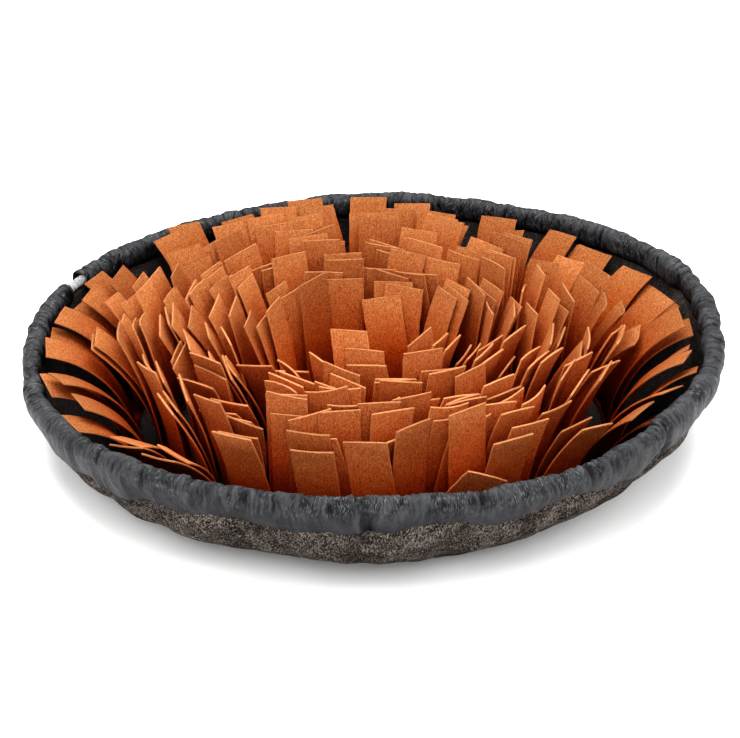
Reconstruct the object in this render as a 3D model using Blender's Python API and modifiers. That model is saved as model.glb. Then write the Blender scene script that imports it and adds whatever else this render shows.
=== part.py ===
"""Snuffle mat: a round felt mat drawn up at its edge into a shallow bowl, with rings of standing felt strips.

The base is one disc of thick felt. A gathered nylon casing covers its edge, and its drawcord shows in the gap
between the casing's two ends. Five concentric rings of felt fringe stand on the floor: each is a narrow backing
that lies on the felt, with leaves about 25 mm wide and 82 mm long fused to it at their roots. Each ring is cut
in arcs, one object for each arc. Metres, +Z up, the origin under the middle of the floor; azimuths in degrees
run counter-clockwise from +X.
"""
import math
import random

import bmesh
import bpy
from mathutils import Vector
from mathutils.bvhtree import BVHTree

MM = 0.001


def table(columns, *rows):
    """A short table as one dictionary of named columns for each row."""
    return [dict(zip(columns.split(), row)) for row in rows]


# Felt base
FELT = 3.0 * MM               # thickness of the base felt
FLOOR_RADIUS = 158 * MM       # the flat floor ends here and the wall begins to rise
GAP = 0.3 * MM                # clearance between pieces that lie on each other

# Rim casing, a flattened tube of gathered nylon that straddles the edge of the felt
CASING_HALF = 5.2 * MM        # half of its thickness, and the radius of its rounded top
CORE_DEPTH = 6.5 * MM         # how far its filled top reaches below the middle of that round
INNER_LAP = 9.5 * MM          # how far it laps down inside the wall
LAP_CLEAR = 0.35 * MM         # between its laps and the felt
EDGE_CLEAR = 0.9 * MM         # between its filled top and the outer corner of the felt's edge, which is tilted
LAP_SLANT = 0.75 * MM         # the wall leans, so the inner lap's foot lies this much further in
GATHER = 0.45 * MM            # height of its coarse gathers
GATHERS = 24                  # coarse gathers round the rim
AZIMUTH_STEPS = 72
CORD_GAP_START = 153.5        # the casing stops here, and starts again at CORD_GAP_END
CORD_GAP_END = 158.9

# Drawcord
CORD_DIAMETER = 6.0 * MM
CORD_SEAT = 4.0 * MM          # how deep the cord reaches into each end of the casing
CORD_DROP = 0.6 * MM          # its middle lies this far below the middle of the casing's round top

# The rim: the middle of the casing's rounded top. A belly under 1 is a wall that is pulled straighter below it.
RIM = table(
    "azimuth radius_mm height_mm belly",
    (0, 208, 65.5, 0.8), (15, 211, 70, 1), (30, 210, 70, 1), (45, 208, 68, 1), (60, 208, 65, 1), (75, 208, 64, 1),
    (90, 208, 64, 1), (105, 208, 61, 1), (120, 208, 59.5, 1), (135, 208, 59, 1), (150, 208, 59.5, 1),
    (165, 208, 59, 1), (180, 207, 55, 1), (195, 207, 50.5, 0.95), (210, 205, 51.5, 0.9), (225, 207, 58, 1),
    (240, 208, 62, 0.9), (255, 208, 63.5, 0.85), (270, 208, 65, 0.93), (285, 208, 64, 0.8), (300, 208, 63.5, 0.62),
    (315, 208, 66.5, 0.66), (330, 209, 72, 0.58), (345, 208, 67, 0.6),
)

# How far the casing laps down outside the wall: its hem is uneven
HEM = table(
    "azimuth lap_mm",
    (0, 15), (15, 14), (30, 16), (45, 13), (60, 15), (75, 12), (90, 15), (105, 13), (120, 15), (135, 13), (150, 15),
    (165, 14), (180, 15), (195, 17), (205, 18.5), (216, 17), (227, 19.5), (234, 17.5), (241, 14.8), (247, 12),
    (254, 14.7), (260, 15), (267, 17.3), (272, 16.5), (277, 10.5), (282, 10.5), (287, 15.5), (292, 14.9),
    (297, 11), (302, 8.8), (308, 14), (313, 18.4), (318, 19.8), (324, 18.6), (335, 17.5), (345, 16),
)

# The wall's outer face, as parts of the way out from the floor's edge to the rim and up from floor to rim
WALL = table("out up", (0, 0), (0.155, 0.068), (0.33, 0.160), (0.524, 0.247), (0.718, 0.358), (0.874, 0.562),
             (0.951, 0.767), (1, 1))

# Soft puckers where the disc is drawn in: each pushes the wall out (or in) around its azimuth
PUCKERS = table(
    "azimuth half_width out_mm",
    (8, 12, 2.5), (31, 11, -1.5), (52, 12, 2.0), (77, 13, -2.0), (101, 12, 2.2), (126, 12, -1.6),
    (149, 11, 2.4), (172, 12, -2.0), (198, 13, 2.2), (221, 10, -1.8), (240, 10, 1.6), (256, 8, -1.6),
    (268, 9, 2.8), (283, 8, -2.0), (297, 9, 1.8), (314, 10, -1.6), (336, 12, 2.0),
)

# Fringe rings, sewn by hand and not quite concentric: the backing's middle and radius, leaf places round the
# ring and the azimuth of the first, arcs that the ring is cut in, leaves at each place, steps along a leaf,
# how far (as a part of a place) the innermost and outermost leaf of a place stand to either side of it, and the
# seed of the ring's unevenness
RINGS = table(
    "x_mm y_mm radius_mm places first arcs leaves steps stagger seed",
    (-5, -9, 46, 10, 28, 5, 3, 2, 0.16, 1113),
    (-4, -7, 72, 16, 10, 8, 3, 2, 0.16, 219),
    (-3, -5, 98, 21, 4, 7, 3, 2, 0.16, 315),
    (-2, -3, 124, 27, 8, 9, 3, 2, 0.16, 188),
    (0, 0, 150, 30, 5, 10, 2, 3, 0.30, 3053),
)
BACKING_HALF = 6.0 * MM       # half of the backing's width
BACKING = 1.6 * MM            # thickness of the backing
BACKING_STEP = 15.0           # longest step along a backing, in degrees
ARC_GAP = 1.0 * MM            # half of the gap between the ends of two arcs
ROOT_SPREAD = 4.2 * MM        # the innermost and outermost leaf of a place stand this far from the ring's line
ROOT_DEPTH = 0.7 * MM         # how deep a leaf's root reaches into the backing

# Leaves, the felt strips that stand up
LEAF_WIDTH = 25.0 * MM
LEAF_LENGTH = 82.0 * MM
LEAF = 1.2 * MM               # thickness of a leaf
LEAF_CLEAR = 0.45 * MM        # least clearance between leaves
WALL_CLEAR = 1.2 * MM         # least clearance between leaves and the wall or the casing
TRIES = 60                    # how often a leaf is laid out afresh before its place stays empty
SHORTEN = 0.15                # by its last try a leaf is this much shorter
LOOSEN = 4                    # and strays this many times more
SETTLE = 0.6                  # and its bunch's turn counts for this much less
LAID = 25                     # a leaf that leans further than this, in degrees, is laid out over the wall
LAID_TOP = 73 * MM            # and ends below this height

# How far the leaves of each ring lean outward, in degrees, round the mat. From root to tip a leaf's lean grows
# by BEND times its mean, and by a column of its own on the outermost ring.
BEND = 1.2
LEANS = table(
    "azimuth ring_1 ring_2 ring_3 ring_4 ring_5 ring_5_bend",
    (0, 12, 12, 14, 19, 44, 1.7), (45, 8, 8, 10, 18, 38, 1.0), (90, 7, 5, 8, 13, 37, 0.5),
    (135, 12, 10, 11, 17, 38, 0.8), (180, 13, 16, 16, 18, 46, 1.7), (225, 16, 15, 13, 15, 42, 1.5),
    (247, 13, 9, 8, 9, 17, 1.2), (270, 8, 5, 3, 4, 3, 1.0), (293, 10, 8, 6, 8, 12, 1.1),
    (315, 12, 10, 9, 13, 36, 1.3),
)

# A bunch at the back of the hollow stands straighter and shorter than its ring, with little noise of its own
STRAY_NOISE = 0.3
STRAYS = table(
    "ring place layer lean yaw side length_mm",
    (1, 2, 0, -3, -4, -3, 61), (1, 2, 1, 1, -2, 2, 71), (1, 2, 2, 6, -3, -2, 79),
)

COLORS = {"rust_felt": (0.600, 0.160, 0.036), "melange_felt": (0.052, 0.043, 0.038),
          "slate_nylon": (0.052, 0.060, 0.072), "cord": (0.42, 0.42, 0.41)}
ROUGHNESS = {"rust_felt": 0.95, "melange_felt": 0.97, "slate_nylon": 0.55, "cord": 0.85}


def around(rows, azimuth, column):
    """The value of a column at an azimuth, smooth between the rows of a table that goes right round."""
    azimuth = azimuth % 360
    low = max(i for i, row in enumerate(rows) if row["azimuth"] <= azimuth)
    start, end = rows[low]["azimuth"], rows[(low + 1) % len(rows)]["azimuth"]
    t = (azimuth - start) / ((end - start) % 360)
    a, b, c, d = (rows[(low + k) % len(rows)][column] for k in (-1, 0, 1, 2))
    return b + 0.5 * t * (c - a + t * (2 * a - 5 * b + 4 * c - d + t * (3 * (b - c) + d - a)))


def polar(radius, azimuth, height, centre=(0, 0)):
    """A point from its distance to a centre, its azimuth there and its height."""
    angle = math.radians(azimuth)
    return Vector((centre[0] + radius * math.cos(angle), centre[1] + radius * math.sin(angle), height))


def rim(azimuth):
    """Radius and height of the middle of the casing's rounded top, and its outer lap."""
    return (around(RIM, azimuth, "radius_mm") * MM, around(RIM, azimuth, "height_mm") * MM,
            around(HEM, azimuth, "lap_mm") * MM)


def pucker(azimuth):
    """How far the puckers push the wall out at an azimuth."""
    total = 0.0
    for row in PUCKERS:
        off = abs((azimuth - row["azimuth"] + 180) % 360 - 180) / row["half_width"]
        if off < 1:
            total += row["out_mm"] * MM * math.cos(off * math.pi / 2) ** 2
    return total


def wall_point(azimuth, out, up):
    """Radius and height of a point of the wall's outer face."""
    radius, height, _ = rim(azimuth)
    edge = radius + FELT / 2
    top = height - CORE_DEPTH - EDGE_CLEAR
    swell = pucker(azimuth) * math.sin(math.pi * min(1, up * 1.25)) ** 1.5
    belly = around(RIM, azimuth, "belly")
    return FLOOR_RADIUS + out * (edge - FLOOR_RADIUS) + swell, (belly * up + (1 - belly) * out) * top


def wall_radius(azimuth, height):
    """Radius of the wall's outer face at a height."""
    points = [wall_point(azimuth, row["out"], row["up"]) for row in WALL]
    for (r0, z0), (r1, z1) in zip(points, points[1:]):
        if height <= z1:
            return r0 + (r1 - r0) * (height - z0) / (z1 - z0)
    return points[-1][0]


def azimuths():
    """The azimuths of the rim's sections, from the end of the cord's gap round to its start."""
    span = 360 - (CORD_GAP_END - CORD_GAP_START)
    return [CORD_GAP_END + span * i / AZIMUTH_STEPS for i in range(AZIMUTH_STEPS + 1)]


def material(name):
    """A plain Principled material."""
    made = bpy.data.materials.new(name)
    made.use_nodes = True
    shader = made.node_tree.nodes["Principled BSDF"]
    shader.inputs["Base Color"].default_value = (*COLORS[name], 1)
    shader.inputs["Roughness"].default_value = ROUGHNESS[name]
    shader.inputs["Metallic"].default_value = 0
    return made


def mesh_object(name, bm, collection, mat):
    """A named object made from a bmesh."""
    mesh = bpy.data.meshes.new(name)
    bm.to_mesh(mesh)
    bm.free()
    obj = bpy.data.objects.new(name, mesh)
    obj.data.materials.append(mat)
    collection.objects.link(obj)
    return obj


def loft(bm, sections, closed=False):
    """Skin closed outlines with the same number of points; an open loft gets a cap at each end."""
    rows = [[bm.verts.new(point) for point in section] for section in sections]
    count = len(rows[0])
    pairs = list(zip(rows, rows[1:])) + ([(rows[-1], rows[0])] if closed else [])
    for first, second in pairs:
        for i in range(count):
            k = (i + 1) % count
            bm.faces.new((first[i], first[k], second[k], second[i]))
    if not closed:
        bm.faces.new(list(reversed(rows[0])))
        bm.faces.new(rows[-1])
    bmesh.ops.recalc_face_normals(bm, faces=bm.faces)
    return rows


def make_base(collection, mat):
    """The felt disc: an open surface, flat floor and puckered wall, with its thickness from Solidify."""
    bm = bmesh.new()
    middle = bm.verts.new((0, 0, 0))
    rows = []
    for row in WALL:
        places = [(azimuth, *wall_point(azimuth, row["out"], row["up"])) for azimuth in azimuths()]
        rows.append([bm.verts.new(polar(radius, azimuth, height)) for azimuth, radius, height in places])
    count = len(rows[0])
    for i in range(count):
        k = (i + 1) % count
        bm.faces.new((middle, rows[0][k], rows[0][i]))
        for lower, upper in zip(rows, rows[1:]):
            bm.faces.new((lower[i], lower[k], upper[k], upper[i]))
    obj = mesh_object("felt_base", bm, collection, mat)
    solid = obj.modifiers.new("felt", "SOLIDIFY")
    solid.thickness = FELT
    solid.offset = -1
    solid.use_even_offset = True
    obj.data.shade_smooth()
    return obj


def casing_section(azimuth, step):
    """One section of the casing: a rounded top, and a lap down each side of the wall."""
    radius, height, lap = rim(azimuth)
    ripple = GATHER * math.sin(2 * math.pi * step * GATHERS / AZIMUTH_STEPS)
    half = CASING_HALF
    lap_foot = max(wall_radius(azimuth, height - lap) + LAP_CLEAR - radius, -FELT / 2)
    outline = [(half + ripple, -CORE_DEPTH)]
    for turn in (0, 45, 90, 135, 180):
        reach = half + (ripple if turn < 180 else 0)
        outline.append((reach * math.cos(math.radians(turn)), reach * math.sin(math.radians(turn))))
    inside = -FELT / 2 - LAP_CLEAR
    outline += [(-half, -INNER_LAP), (inside - LAP_SLANT, -INNER_LAP), (inside, -CORE_DEPTH)]
    outside = FELT / 2 + LAP_CLEAR
    foot = lap_foot + 2.6 * MM + ripple
    outline += [(outside, -CORE_DEPTH), (lap_foot, -lap), (foot, -lap)]
    return [polar(radius + u, azimuth, height + v) for u, v in outline]


def cord_line():
    """The line of the drawcord, from inside one end of the casing across the gap to inside the other."""
    seat = math.degrees(CORD_SEAT / rim(CORD_GAP_START)[0])
    line = []
    steps = 6
    for i in range(steps + 1):
        azimuth = CORD_GAP_START - seat + (CORD_GAP_END - CORD_GAP_START + 2 * seat) * i / steps
        radius, height, _ = rim(azimuth)
        line.append(polar(radius, azimuth, height - CORD_DROP))
    return line


def tube(name, points, diameter, resolution, collection, mat):
    """A round tube along a line, as a closed mesh."""
    curve = bpy.data.curves.new(name, "CURVE")
    curve.dimensions = "3D"
    curve.bevel_depth = diameter / 2
    curve.bevel_resolution = resolution
    curve.use_fill_caps = True
    spline = curve.splines.new("POLY")
    spline.points.add(len(points) - 1)
    for point, place in zip(spline.points, points):
        point.co = (*place, 1)
    drawn = bpy.data.objects.new(name + "_line", curve)
    collection.objects.link(drawn)
    bpy.context.view_layer.update()
    shape = drawn.evaluated_get(bpy.context.evaluated_depsgraph_get())
    bm = bmesh.new()
    bm.from_mesh(bpy.data.meshes.new_from_object(shape))
    bpy.data.objects.remove(drawn)
    bmesh.ops.remove_doubles(bm, verts=bm.verts, dist=0.00001)
    bmesh.ops.recalc_face_normals(bm, faces=bm.faces)
    return mesh_object(name, bm, collection, mat)


def boolean(obj, other, operation):
    """Cut or join a helper object, which stays hidden."""
    change = obj.modifiers.new(other.name, "BOOLEAN")
    change.object = other
    change.operation = operation
    change.solver = "EXACT"
    other.hide_render = True
    other.display_type = "WIRE"


def make_casing(collection, cutters, mat):
    """The gathered nylon casing, open at the cord's gap, with a socket for the cord in each end."""
    bm = bmesh.new()
    loft(bm, [casing_section(azimuth, step) for step, azimuth in enumerate(azimuths())])
    obj = mesh_object("rim_casing", bm, collection, mat)
    line = cord_line()
    ends = [line[0] + (line[0] - line[1]).normalized() * GAP, *line[1:-1],
            line[-1] + (line[-1] - line[-2]).normalized() * GAP]
    boolean(obj, tube("cord_socket_cutter", ends, CORD_DIAMETER + 2 * GAP, 2, cutters, mat), "DIFFERENCE")
    return obj


def make_drawcord(collection, mat):
    """The stretch of drawcord that shows, seated in both ends of the casing."""
    return tube("drawcord", cord_line(), CORD_DIAMETER, 2, collection, mat)


def leaf_sections(leaf, segments, grow=0.0):
    """Corner points of a leaf's sections from root to tip: it bends evenly, and its root lies level."""
    fine = 12
    azimuth = leaf["azimuth"]
    place = polar(leaf["radius"], azimuth, FELT + GAP + BACKING - ROOT_DEPTH, leaf["centre"])
    step = (leaf["length"] + grow) / (segments * fine)
    sections = []
    for i in range(segments * fine + 1):
        t = i / (segments * fine)
        yaw = math.radians(azimuth + leaf["yaw"])
        out = Vector((math.cos(yaw), math.sin(yaw), 0))
        across = Vector((-math.sin(yaw), math.cos(yaw), 0))
        side = math.radians(leaf["side"])
        lean = math.radians(leaf["lean"] * (1 + leaf["bend"] * (t - 0.5)))
        upright = math.cos(side) * Vector((0, 0, 1)) + math.sin(side) * across
        along = math.cos(lean) * upright + math.sin(lean) * out
        width = math.cos(side) * across - math.sin(side) * Vector((0, 0, 1)) if i else across
        facing = width.cross(along).normalized()
        if i % fine == 0:
            half_width = width * (leaf["width"] / 2 + grow)
            half_thick = facing * (LEAF / 2 + grow)
            sections.append([place - half_width - half_thick, place + half_width - half_thick,
                             place + half_width + half_thick, place - half_width + half_thick])
        place = place + along * step
    return sections


def tree_of_sections(sections):
    """A search tree over a leaf's sides, to test it against its neighbours."""
    points = [point for section in sections for point in section]
    faces = [(0, 1, 2, 3)]
    for row in range(len(sections) - 1):
        for i in range(4):
            k = (i + 1) % 4
            faces.append((row * 4 + i, row * 4 + k, row * 4 + 4 + k, row * 4 + 4 + i))
    last = len(points) - 4
    faces.append((last, last + 1, last + 2, last + 3))
    return BVHTree.FromPolygons(points, faces)


def tree_of_object(obj):
    """A search tree over an object's finished surface."""
    bpy.context.view_layer.update()
    return BVHTree.FromObject(obj, bpy.context.evaluated_depsgraph_get())


def fits(leaf, segments, placed, walls):
    """True if a leaf stays clear of the leaves already placed and of the wall and the casing."""
    if leaf["lean"] > LAID and max(point.z for point in leaf_sections(leaf, segments)[-1]) > LAID_TOP:
        return False
    tree = tree_of_sections(leaf_sections(leaf, segments, LEAF_CLEAR))
    middle = polar(leaf["radius"], leaf["azimuth"], 0, leaf["centre"])
    for other in placed:
        if (other["middle"] - middle).length < 2.4 * LEAF_LENGTH and tree.overlap(other["tree"]):
            return False
    wide = tree_of_sections(leaf_sections(leaf, segments, WALL_CLEAR))
    if any(wide.overlap(wall) for wall in walls):
        return False
    leaf["tree"] = tree_of_sections(leaf_sections(leaf, segments))
    leaf["middle"] = middle
    return True


def arc_span(ring, arc):
    """The azimuth where an arc's backing starts and how many degrees it covers."""
    slack = math.degrees(ARC_GAP / (ring["radius_mm"] * MM))
    return ring["first"] - 180 / ring["places"] + arc * 360 / ring["arcs"] + slack, 360 / ring["arcs"] - 2 * slack


def on_its_arc(azimuth, ring, arc, radius):
    """The azimuth nearest to the wanted one where a leaf's whole root stands on its own arc's backing."""
    start, sweep = arc_span(ring, arc)
    reach = math.degrees(math.asin(0.52 * LEAF_WIDTH / radius))
    return min(max(azimuth, start + reach), start + sweep - reach)


def lay_out(ring_number, place, layer, bunch, loose, draw):
    """One try at a leaf: its bunch's lean and turn, and a little of its own, more when it has to give way."""
    ring = RINGS[ring_number - 1]
    outermost = ring_number == len(RINGS)
    spread = 2 * layer / (ring["leaves"] - 1) - 1
    azimuth = ring["first"] + (place + ring["stagger"] * spread + bunch["shift"]) * 360 / ring["places"]
    mean = {"lean": around(LEANS, azimuth, f"ring_{ring_number}") + bunch["lean"] + 4 * spread,
            "yaw": bunch["yaw"] * (1 - SETTLE * loose), "side": bunch["side"], "length_mm": LEAF_LENGTH / MM}
    noise = 1 + LOOSEN * loose
    for stray in STRAYS:
        if (stray["ring"], stray["place"], stray["layer"]) == (ring_number, place, layer):
            mean, noise = stray, STRAY_NOISE
    arc = place * ring["arcs"] // ring["places"]
    radius = ring["radius_mm"] * MM + spread * ROOT_SPREAD
    return {
        "ring": ring_number,
        "arc": arc,
        "centre": (ring["x_mm"] * MM, ring["y_mm"] * MM),
        "radius": radius,
        "azimuth": on_its_arc(azimuth, ring, arc, radius),
        "bend": around(LEANS, azimuth, "ring_5_bend") if outermost else BEND,
        "lean": mean["lean"] + draw.gauss(0, 2.5) * noise,
        "yaw": mean["yaw"] + draw.gauss(0, 4) * noise,
        "side": mean["side"] + draw.gauss(0, 2.5) * noise,
        "width": LEAF_WIDTH * draw.uniform(0.96, 1.02),
        "length": mean["length_mm"] * MM * draw.uniform(0.91, 1.04) * (1 - SHORTEN * loose),
    }


def plan_leaves(walls):
    """Lean, turn and size of every leaf: each place has its own set, and each leaf strays a little from it."""
    placed = []
    for ring_number, ring in enumerate(RINGS, 1):
        draw = random.Random(ring["seed"])
        for place in range(ring["places"]):
            bunch = {"lean": draw.gauss(0, 2.5 if ring_number == len(RINGS) else 4.5), "yaw": draw.gauss(0, 12),
                     "side": draw.gauss(0, 5), "shift": draw.gauss(0, 0.05)}
            for layer in range(ring["leaves"]):
                for attempt in range(TRIES):
                    leaf = lay_out(ring_number, place, layer, bunch, attempt / TRIES, draw)
                    if fits(leaf, ring["steps"], placed, walls):
                        placed.append(leaf)
                        break
    return placed


def make_arc(name, ring, arc, leaves, collection, cutters, mat):
    """One arc of a fringe ring: its backing on the felt, joined with the leaves that stand on it."""
    centre = (ring["x_mm"] * MM, ring["y_mm"] * MM)
    radius = ring["radius_mm"] * MM
    start, sweep = arc_span(ring, arc)
    steps = math.ceil(sweep / BACKING_STEP)
    low = FELT + GAP
    bm = bmesh.new()
    loft(bm, [[polar(radius + u, start + sweep * i / steps, z, centre) for u, z in
               ((-BACKING_HALF, low), (BACKING_HALF, low), (BACKING_HALF, low + BACKING),
                (-BACKING_HALF, low + BACKING))] for i in range(steps + 1)])
    obj = mesh_object(name, bm, collection, mat)
    bm = bmesh.new()
    for leaf in leaves:
        loft(bm, leaf_sections(leaf, ring["steps"]))
    boolean(obj, mesh_object(name + "_leaves", bm, cutters, mat), "UNION")
    return obj


def main():
    for obj in list(bpy.data.objects):
        bpy.data.objects.remove(obj)
    parts = bpy.data.collections.new("snuffle_mat")
    cutters = bpy.data.collections.new("cutters")
    bpy.context.scene.collection.children.link(parts)
    bpy.context.scene.collection.children.link(cutters)
    base = make_base(parts, material("melange_felt"))
    casing = make_casing(parts, cutters, material("slate_nylon"))
    make_drawcord(parts, material("cord"))
    leaves = plan_leaves([tree_of_object(base), tree_of_object(casing)])
    rust = material("rust_felt")
    for number, ring in enumerate(RINGS, 1):
        for arc in range(ring["arcs"]):
            chosen = [leaf for leaf in leaves if (leaf["ring"], leaf["arc"]) == (number, arc)]
            make_arc(f"strip_ring_{number}_arc_{arc + 1:02d}", ring, arc, chosen, parts, cutters, rust)


main()
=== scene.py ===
"""The dressed snuffle mat: a puckered felt bowl, a gathered nylon casing with its drawcord, and felt leaves.

Every leaf stands where the CAD's stands: the tables are the same as in the CAD's source, and the functions
that lay the leaves out do the same. Metres, +Z up; azimuths in degrees, counter-clockwise from +X.
"""
import math
import random

import bpy
from mathutils import Matrix, Vector, noise
from mathutils.bvhtree import BVHTree


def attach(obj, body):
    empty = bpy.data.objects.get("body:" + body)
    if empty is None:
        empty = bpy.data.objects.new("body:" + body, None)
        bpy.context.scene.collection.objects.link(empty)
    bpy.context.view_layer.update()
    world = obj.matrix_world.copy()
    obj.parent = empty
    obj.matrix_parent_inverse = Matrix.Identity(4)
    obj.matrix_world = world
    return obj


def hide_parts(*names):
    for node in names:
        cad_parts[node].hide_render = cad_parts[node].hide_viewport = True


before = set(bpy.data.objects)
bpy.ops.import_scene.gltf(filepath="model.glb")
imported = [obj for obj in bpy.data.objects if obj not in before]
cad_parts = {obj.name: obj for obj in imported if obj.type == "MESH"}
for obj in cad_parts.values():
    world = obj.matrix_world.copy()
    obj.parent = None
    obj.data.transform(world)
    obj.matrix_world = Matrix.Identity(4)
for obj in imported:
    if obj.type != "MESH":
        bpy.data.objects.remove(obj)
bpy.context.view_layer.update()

MM = 0.001


def table(columns, *rows):
    """A short table as one dictionary of named columns for each row."""
    return [dict(zip(columns.split(), row)) for row in rows]


# ---- The CAD's sizes

FELT = 3.0 * MM
FLOOR_RADIUS = 158 * MM
GAP = 0.3 * MM
CASING_HALF = 5.2 * MM
CORE_DEPTH = 6.5 * MM
INNER_LAP = 9.5 * MM
EDGE_CLEAR = 0.9 * MM
GATHER = 0.45 * MM
GATHERS = 24
CORD_GAP_START = 153.5
CORD_GAP_END = 158.9
CORD_DIAMETER = 6.0 * MM
CORD_SEAT = 4.0 * MM
CORD_DROP = 0.6 * MM
RIM = table(
    "azimuth radius_mm height_mm belly",
    (0, 208, 65.5, 0.8), (15, 211, 70, 1), (30, 210, 70, 1), (45, 208, 68, 1), (60, 208, 65, 1),
    (75, 208, 64, 1), (90, 208, 64, 1), (105, 208, 61, 1), (120, 208, 59.5, 1), (135, 208, 59, 1),
    (150, 208, 59.5, 1), (165, 208, 59, 1), (180, 207, 55, 1), (195, 207, 50.5, 0.95),
    (210, 205, 51.5, 0.9), (225, 207, 58, 1), (240, 208, 62, 0.9), (255, 208, 63.5, 0.85),
    (270, 208, 65, 0.93), (285, 208, 64, 0.8), (300, 208, 63.5, 0.62), (315, 208, 66.5, 0.66),
    (330, 209, 72, 0.58), (345, 208, 67, 0.6),
)
HEM = table(
    "azimuth lap_mm",
    (0, 15), (15, 14), (30, 16), (45, 13), (60, 15), (75, 12), (90, 15), (105, 13), (120, 15), (135, 13),
    (150, 15), (165, 14), (180, 15), (195, 17), (205, 18.5), (216, 17), (227, 19.5), (234, 17.5),
    (241, 14.8), (247, 12), (254, 14.7), (260, 15), (267, 17.3), (272, 16.5), (277, 10.5), (282, 10.5),
    (287, 15.5), (292, 14.9), (297, 11), (302, 8.8), (308, 14), (313, 18.4), (318, 19.8), (324, 18.6),
    (335, 17.5), (345, 16),
)
WALL = table("out up", (0, 0), (0.155, 0.068), (0.33, 0.160), (0.524, 0.247), (0.718, 0.358), (0.874, 0.562),
             (0.951, 0.767), (1, 1))
PUCKERS = table(
    "azimuth half_width out_mm",
    (8, 12, 2.5), (31, 11, -1.5), (52, 12, 2.0), (77, 13, -2.0), (101, 12, 2.2), (126, 12, -1.6),
    (149, 11, 2.4), (172, 12, -2.0), (198, 13, 2.2), (221, 10, -1.8), (240, 10, 1.6), (256, 8, -1.6),
    (268, 9, 2.8), (283, 8, -2.0), (297, 9, 1.8), (314, 10, -1.6), (336, 12, 2.0),
)
RINGS = table(
    "x_mm y_mm radius_mm places first arcs leaves steps stagger seed",
    (-5, -9, 46, 10, 28, 5, 3, 2, 0.16, 1113),
    (-4, -7, 72, 16, 10, 8, 3, 2, 0.16, 219),
    (-3, -5, 98, 21, 4, 7, 3, 2, 0.16, 315),
    (-2, -3, 124, 27, 8, 9, 3, 2, 0.16, 188),
    (0, 0, 150, 30, 5, 10, 2, 3, 0.30, 3053),
)
BACKING_HALF = 6.0 * MM
BACKING = 1.6 * MM
ARC_GAP = 1.0 * MM
ROOT_SPREAD = 4.2 * MM
ROOT_DEPTH = 0.7 * MM
LEAF_WIDTH = 25.0 * MM
LEAF_LENGTH = 82.0 * MM
WIDTHS = (0.96, 1.02)
LENGTHS = (0.91, 1.04)
NEAR = 2.4 * LEAF_LENGTH
ROOT_REACH = 0.52 * LEAF_WIDTH
LINE_STEPS = 12
LEAF = 1.2 * MM
LEAF_CLEAR = 0.45 * MM
WALL_CLEAR = 1.2 * MM
TRIES = 60
SHORTEN = 0.15
LOOSEN = 4
SETTLE = 0.6
LAID = 25
LAID_TOP = 73 * MM
BEND = 1.2
FAN = 4
LEAF_SPREAD = {"lean": 2.5, "yaw": 4, "side": 2.5}
BUNCH_SPREAD = {"lean": 4.5, "yaw": 12, "side": 5, "shift": 0.05}
OUTER_SPREAD = {**BUNCH_SPREAD, "lean": 2.5}
LEANS = table(
    "azimuth ring_1 ring_2 ring_3 ring_4 ring_5 ring_5_bend",
    (0, 12, 12, 14, 19, 44, 1.7), (45, 8, 8, 10, 18, 38, 1.0), (90, 7, 5, 8, 13, 37, 0.5),
    (135, 12, 10, 11, 17, 38, 0.8), (180, 13, 16, 16, 18, 46, 1.7), (225, 16, 15, 13, 15, 42, 1.5),
    (247, 13, 9, 8, 9, 17, 1.2), (270, 8, 5, 3, 4, 3, 1.0), (293, 10, 8, 6, 8, 12, 1.1),
    (315, 12, 10, 9, 13, 36, 1.3),
)
STRAY_NOISE = 0.3
STRAYS = table(
    "ring place layer lean yaw side length_mm",
    (1, 2, 0, -3, -4, -3, 61), (1, 2, 1, 1, -2, 2, 71), (1, 2, 2, 6, -3, -2, 79),
)

# ---- Camera, light and floor

PICTURE = 740  # width of the picture in pixels, the unit of the focal length and the shifts
FOCAL = 2782
SHIFT_ACROSS = -1.5
SHIFT_UP = -31.7
SENSOR = 36  # sensor width in millimetres
CAMERA_AWAY = 1.7  # metres from the camera to the point it looks at
CAMERA_UP = 26.5  # degrees over the floor
LOOK_AT = 64 * MM  # height of that point, over the middle of the mat
FAR_CLIP = 50
SKY = 0.58  # strength of the white world
LAMPS_AIM = 0.04  # height of the point that the lamps are turned to
LAMPS = table(
    "name energy size x y z",
    ("softbox_top", 68, 2.1, -0.04, 0.42, 1.60),
    ("softbox_front", 38, 1.6, 0.00, -1.40, 1.05),
    ("softbox_left", 8, 1.2, -1.40, -0.20, 0.90),
    ("softbox_right", 10, 1.2, 1.40, -0.10, 0.90),
)
ALL_CHANNELS = 3  # number of the curve that red, green and blue share
CONTRAST = table(  # that curve: the brightness that each one is shown as
    "light shown",
    (0.015, 0.003), (0.03, 0.009), (0.07, 0.035), (0.13, 0.085), (0.25, 0.205), (0.5, 0.465), (0.75, 0.69),
)
FLOOR_HALF = 6
FLOOR_DROP = 0.2 * MM  # how far it lies under the mat, against flicker
FLOOR_COLOR = (0.93, 0.93, 0.93)

# ---- Sizes of the finer pieces

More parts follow.
